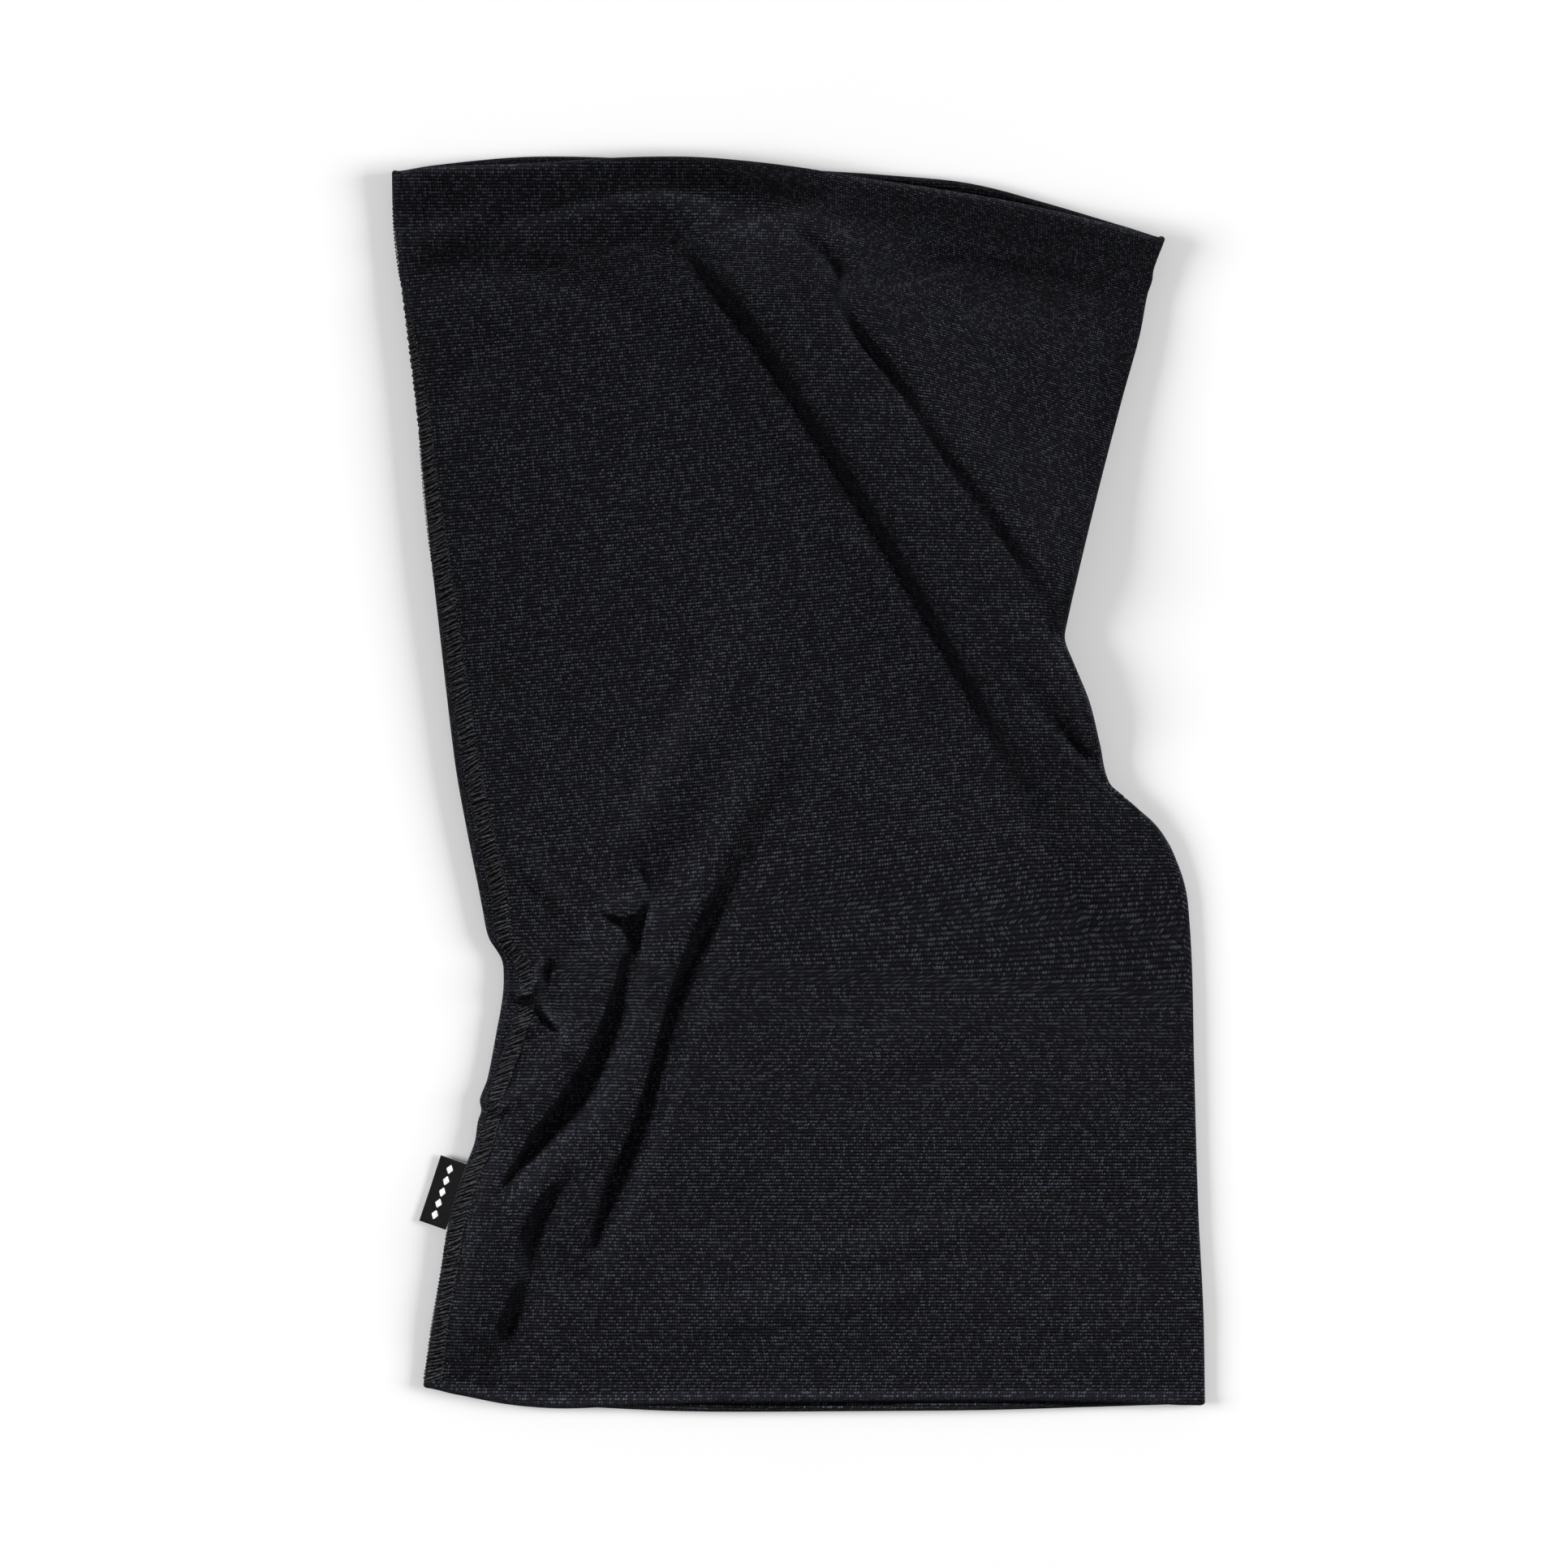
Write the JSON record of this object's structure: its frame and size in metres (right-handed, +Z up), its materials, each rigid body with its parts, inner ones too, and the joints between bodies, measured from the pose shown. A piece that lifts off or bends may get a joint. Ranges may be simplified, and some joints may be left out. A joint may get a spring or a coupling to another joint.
{
  "type": "neck gaiter",
  "caption": "Knitted tube for the neck, lying flat, with turned hems at both mouths, a flatlock side seam and a small loop label that swings on the seam.",
  "frame": {"origin": "centre of the box round the gaiter as it lies flat, on the surface that it lies on", "axes": "+Y from the bottom mouth, which has the label near it, to the top mouth; +Z up from the surface; +X away from the seam edge"},
  "size_m": [0.2564, 0.3982, 0.012],
  "materials": {
    "jersey": "fine plain-knit jersey, matte, very dark navy",
    "cover_thread": "bulky textured sewing thread, charcoal, slightly lighter than the jersey",
    "inner_thread": "spun sewing thread, charcoal",
    "label_tape": "dense woven tape, black",
    "label_mark": "raised woven weft floats, off-white"
  },
  "bodies": {
    "tube": {"knit_tube": "jersey", "top_hem": "jersey", "bottom_hem": "jersey", "top_hem_thread": "inner_thread", "bottom_hem_thread": "inner_thread", "seam_cover_thread": "cover_thread", "seam_needle_threads": "inner_thread", "seam_looper_thread": "inner_thread"},
    "label": {"label_tape": "label_tape", "label_mark": "label_mark"}
  },
  "joints": [
    {"name": "label_flap", "type": "hinge", "parent": "tube", "child": "label", "pos_m": [-0.1085, -0.1297, 0.0032], "axis": [0.3156, 0.9489, 0], "range_deg": [0, 100]}
  ]
}
